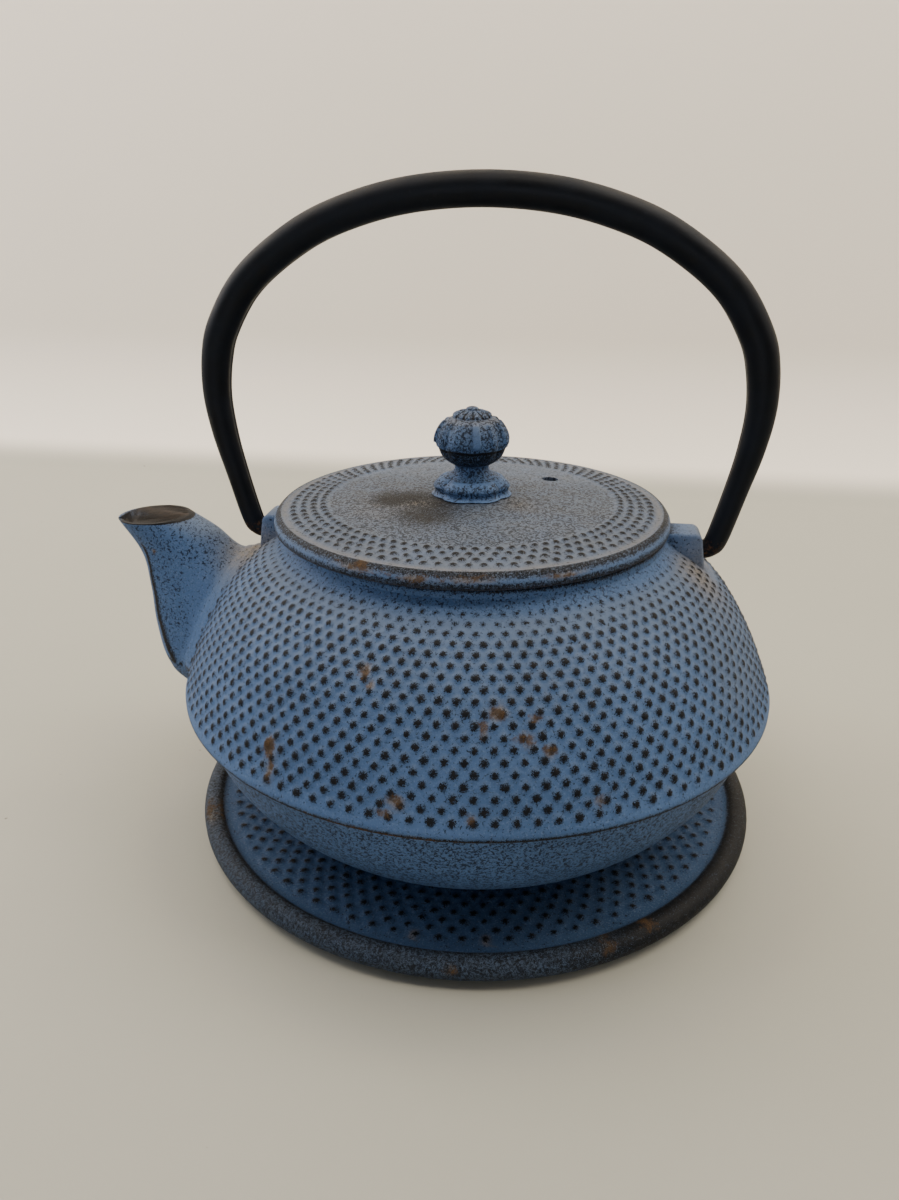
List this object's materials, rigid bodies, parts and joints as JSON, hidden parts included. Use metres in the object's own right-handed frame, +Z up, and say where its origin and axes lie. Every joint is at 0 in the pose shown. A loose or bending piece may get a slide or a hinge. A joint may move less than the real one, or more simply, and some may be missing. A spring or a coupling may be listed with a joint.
{
  "type": "teapot with infuser",
  "caption": "Round cast-iron teapot with a hobnailed shell, short spout, swinging bail handle, knobbed lid and lift-out infuser basket, standing on a matching round trivet.",
  "frame": {"origin": "centre of the footprint box at the surface the trivet's foot pads stand on; the pot's own axis is the vertical line at x = +11.1 mm", "axes": "+Z up, -X towards the spout; the handle's hinge axis runs along X through both lugs"},
  "size_m": [0.1872, 0.165, 0.1745],
  "materials": {
    "blue_iron": "matte blue enamel paint over rough cast iron, worn to dark iron on the hobnails",
    "trivet_iron": "matte blue enamel paint over cast iron, rim worn to dark iron",
    "black_enamel": "satin black enamel",
    "stainless": "satin stainless steel",
    "zinc_steel": "dull plated steel",
    "foot_rubber": "matte black rubber"
  },
  "bodies": {
    "trivet": {"trivet_casting": "trivet_iron", "trivet_foot_pad_1": "foot_rubber", "trivet_foot_pad_2": "foot_rubber", "trivet_foot_pad_3": "foot_rubber"},
    "pot": {"pot_bowl": "blue_iron", "pot_shoulder": "blue_iron", "pot_spout": "blue_iron"},
    "handle": {"handle_bail": "black_enamel"},
    "infuser": {"infuser_rim": "stainless", "infuser_sleeve": "stainless", "infuser_seam_strip": "stainless", "infuser_base_ring": "stainless", "infuser_base_mesh": "stainless"},
    "lid": {"lid_casting": "blue_iron", "lid_knob_seat": "blue_iron", "lid_knob": "blue_iron", "lid_knob_washer": "zinc_steel", "lid_knob_screw": "zinc_steel"}
  },
  "joints": [
    {"name": "pot_lift", "type": "slide", "parent": "trivet", "child": "pot", "axis": [0, 0, 1], "range_m": [0, 0.04]},
    {"name": "handle_swing", "type": "hinge", "parent": "pot", "child": "handle", "pos_m": [0.0111, 0, 0.082], "axis": [1, 0, 0], "range_deg": [-105, 105]},
    {"name": "infuser_lift", "type": "slide", "parent": "pot", "child": "infuser", "axis": [0, 0, 1], "range_m": [0, 0.044]},
    {"name": "lid_lift", "type": "slide", "parent": "infuser", "child": "lid", "axis": [0, 0, 1], "range_m": [0, 0.044]}
  ]
}
